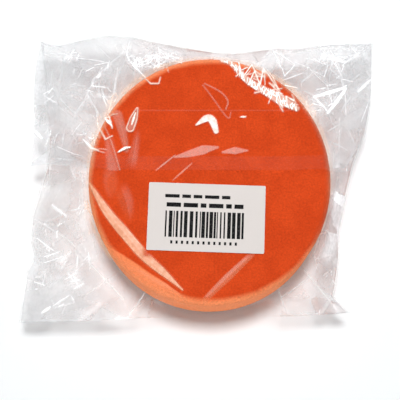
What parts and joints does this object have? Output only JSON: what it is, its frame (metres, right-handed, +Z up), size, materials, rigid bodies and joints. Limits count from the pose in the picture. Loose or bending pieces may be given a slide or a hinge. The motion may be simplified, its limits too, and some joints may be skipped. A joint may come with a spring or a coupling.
{
  "type": "polishing pad",
  "caption": "Round orange foam polishing pad with a rounded face edge and a loop backing, lying in a clear crinkled film bag closed by a folded flap, with a bare white label.",
  "frame": {"origin": "where the pad's axis meets the surface that the bag rests on", "axes": "+Z up along the pad's axis towards the working face, +Y towards the bag's top fold, +X to the right as the label is read"},
  "size_m": [0.224, 0.1801, 0.0513],
  "materials": {
    "foam": "matt open-cell polyurethane foam, deep orange",
    "bond": "thin hot-melt adhesive film",
    "loop_fabric": "brushed white loop fabric",
    "film": "clear, glossy, crinkled packing film",
    "weld": "hot-cut weld of clear film",
    "adhesive": "clear pressure-sensitive adhesive",
    "label_paper": "smooth white label paper, bare of words"
  },
  "bodies": {
    "package": {"foam_disc": "foam", "bond_film": "bond", "loop_backing": "loop_fabric", "bag_front_panel": "film", "bag_back_panel": "film", "side_weld_left": "weld", "side_weld_right": "weld", "label": "label_paper"},
    "flap": {"closing_flap": "film", "adhesive_strip": "adhesive"}
  },
  "joints": [
    {"name": "flap_fold", "type": "hinge", "parent": "package", "child": "flap", "pos_m": [0, 0.0962, 0.0257], "axis": [-1, 0, 0], "range_deg": [0, 165]}
  ]
}
